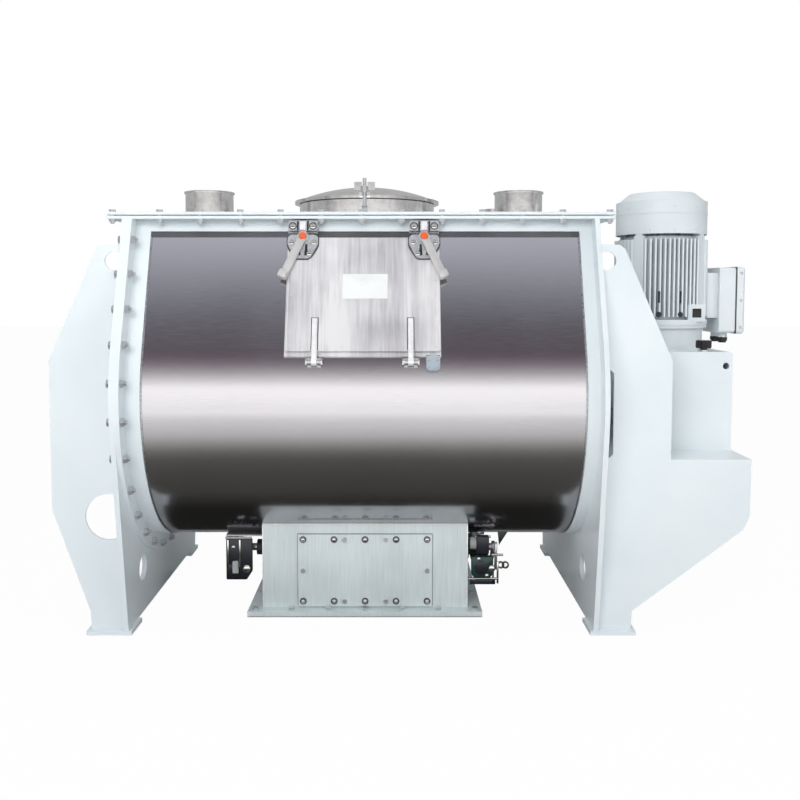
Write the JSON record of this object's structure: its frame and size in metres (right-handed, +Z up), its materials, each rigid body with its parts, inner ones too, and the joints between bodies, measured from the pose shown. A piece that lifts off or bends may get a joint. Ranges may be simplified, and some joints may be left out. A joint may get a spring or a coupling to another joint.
{
  "type": "ribbon blender",
  "caption": "Horizontal ribbon blender: round-bottomed stainless trough on plate legs, helical agitator, hinged door, manhole, drop gate and upright finned motor.",
  "frame": {"origin": "on the floor, under the middle of the machine's overall box", "axes": "+X along the agitator shaft towards the drive, -Y towards the operator's door, +Z up"},
  "size_m": [2.99, 1.48, 1.877],
  "materials": {
    "stainless": "polished stainless",
    "satin_stainless": "satin brushed stainless",
    "white_paint": "gloss white enamel",
    "motor_paint": "satin white enamel on castings",
    "zinc": "zinc plated",
    "rubber": "black food rubber",
    "black": "matt black",
    "orange": "orange cap",
    "green": "dark green paint",
    "blue_grey": "blue-grey plastic",
    "cast": "painted casting"
  },
  "bodies": {
    "root": {"trough_shell": "stainless", "left_band": "white_paint", "right_band": "white_paint", "top_frame": "white_paint", "lid_gasket": "rubber", "lid_plate": "white_paint", "lid_bolts": "zinc", "left_end_plate": "white_paint", "right_end_plate": "white_paint", "left_flange_bolts": "zinc", "left_leg_panels": "white_paint", "right_leg_panels": "white_paint", "foot_plates": "white_paint", "drive_shelf": "white_paint", "motor_stand": "white_paint", "shaft_bearings": "cast", "shaft_seals": "satin_stainless", "gearbox": "cast", "motor_adapter": "cast", "motor_body": "motor_paint", "motor_cowl": "motor_paint", "terminal_box": "motor_paint", "terminal_lid": "motor_paint", "breather": "black", "lid_nozzles": "satin_stainless", "manhole_collar": "white_paint", "hatch_gaskets": "rubber", "door_frame": "satin_stainless", "door_hinge_brackets": "satin_stainless", "hinge_pins": "zinc", "latch_keepers": "satin_stainless", "limit_switch": "blue_grey", "discharge_chute": "satin_stainless", "chute_access_plate": "satin_stainless", "chute_bolts": "zinc", "gate_bearings": "black", "switch_box": "black", "switch_bracket": "zinc"},
    "agitator": {"main_shaft": "satin_stainless", "outer_ribbons": "satin_stainless", "inner_ribbons": "satin_stainless", "ribbon_arms": "satin_stainless"},
    "rotor": {"motor_rotor": "zinc", "motor_fan": "black"},
    "door": {"door_panel": "satin_stainless", "door_hinge_straps": "satin_stainless", "latch_bases": "satin_stainless"},
    "latch_left": {"latch_handle_left": "satin_stainless", "latch_cap_left": "orange"},
    "latch_right": {"latch_handle_right": "satin_stainless", "latch_cap_right": "orange"},
    "manhole_cover": {"manhole_lid": "satin_stainless"},
    "clamp": {"swing_bolt": "zinc", "wing_nut": "satin_stainless"},
    "gate_front": {"gate_flap_front": "satin_stainless", "gate_shaft_front": "satin_stainless"},
    "gate_rear": {"gate_flap_rear": "satin_stainless", "gate_shaft_rear": "satin_stainless"},
    "cylinder": {"air_cylinder": "green"},
    "piston": {"cylinder_rod": "satin_stainless"}
  },
  "joints": [
    {"name": "agitator_spin", "type": "hinge", "parent": "root", "child": "agitator", "pos_m": [-0.237, 0, 0.951], "axis": [1, 0, 0], "continuous": true},
    {"name": "rotor_spin", "type": "hinge", "parent": "root", "child": "rotor", "pos_m": [1.139, 0, 1.4], "axis": [0, 0, 1], "continuous": true},
    {"name": "door_hinge", "type": "hinge", "parent": "root", "child": "door", "pos_m": [-0.227, -0.67267, 1.12449], "axis": [1, 0, 0], "range_deg": [0, 110]},
    {"name": "latch_left_turn", "type": "hinge", "parent": "door", "child": "latch_left", "pos_m": [-0.474, -0.51129, 1.62217], "axis": [0, 0.9426, -0.3338], "range_deg": [0, 80]},
    {"name": "latch_right_turn", "type": "hinge", "parent": "door", "child": "latch_right", "pos_m": [0.02, -0.51129, 1.62217], "axis": [0, -0.9426, 0.3338], "range_deg": [0, 80]},
    {"name": "manhole_hinge", "type": "hinge", "parent": "root", "child": "manhole_cover", "pos_m": [-0.227, 0.37, 1.804], "axis": [-1, 0, 0], "range_deg": [0, 100]},
    {"name": "clamp_swing", "type": "hinge", "parent": "root", "child": "clamp", "pos_m": [-0.227, -0.356, 1.747], "axis": [1, 0, 0], "range_deg": [0, 85]},
    {"name": "gate_front_hinge", "type": "hinge", "parent": "root", "child": "gate_front", "pos_m": [-0.227, -0.25, 0.262], "axis": [-1, 0, 0], "range_deg": [0, 80]},
    {"name": "gate_rear_hinge", "type": "hinge", "parent": "root", "child": "gate_rear", "pos_m": [-0.227, 0.25, 0.262], "axis": [1, 0, 0], "range_deg": [0, 80]},
    {"name": "cylinder_pivot", "type": "hinge", "parent": "gate_front", "child": "cylinder", "pos_m": [0.288, -0.19215, 0.19306], "axis": [1, 0, 0], "range_deg": [0, 80]},
    {"name": "piston_slide", "type": "slide", "parent": "cylinder", "child": "piston", "axis": [0, 1, 0], "range_m": [0, 0.2315]}
  ],
  "couplings": [
    {"joint": "rotor_spin", "follows": "agitator_spin", "ratio": 40},
    {"joint": "gate_rear_hinge", "follows": "gate_front_hinge", "ratio": 1},
    {"joint": "cylinder_pivot", "follows": "gate_front_hinge", "ratio": 1},
    {"joint": "piston_slide", "follows": "gate_front_hinge", "m_per_rad": 0.16573}
  ]
}
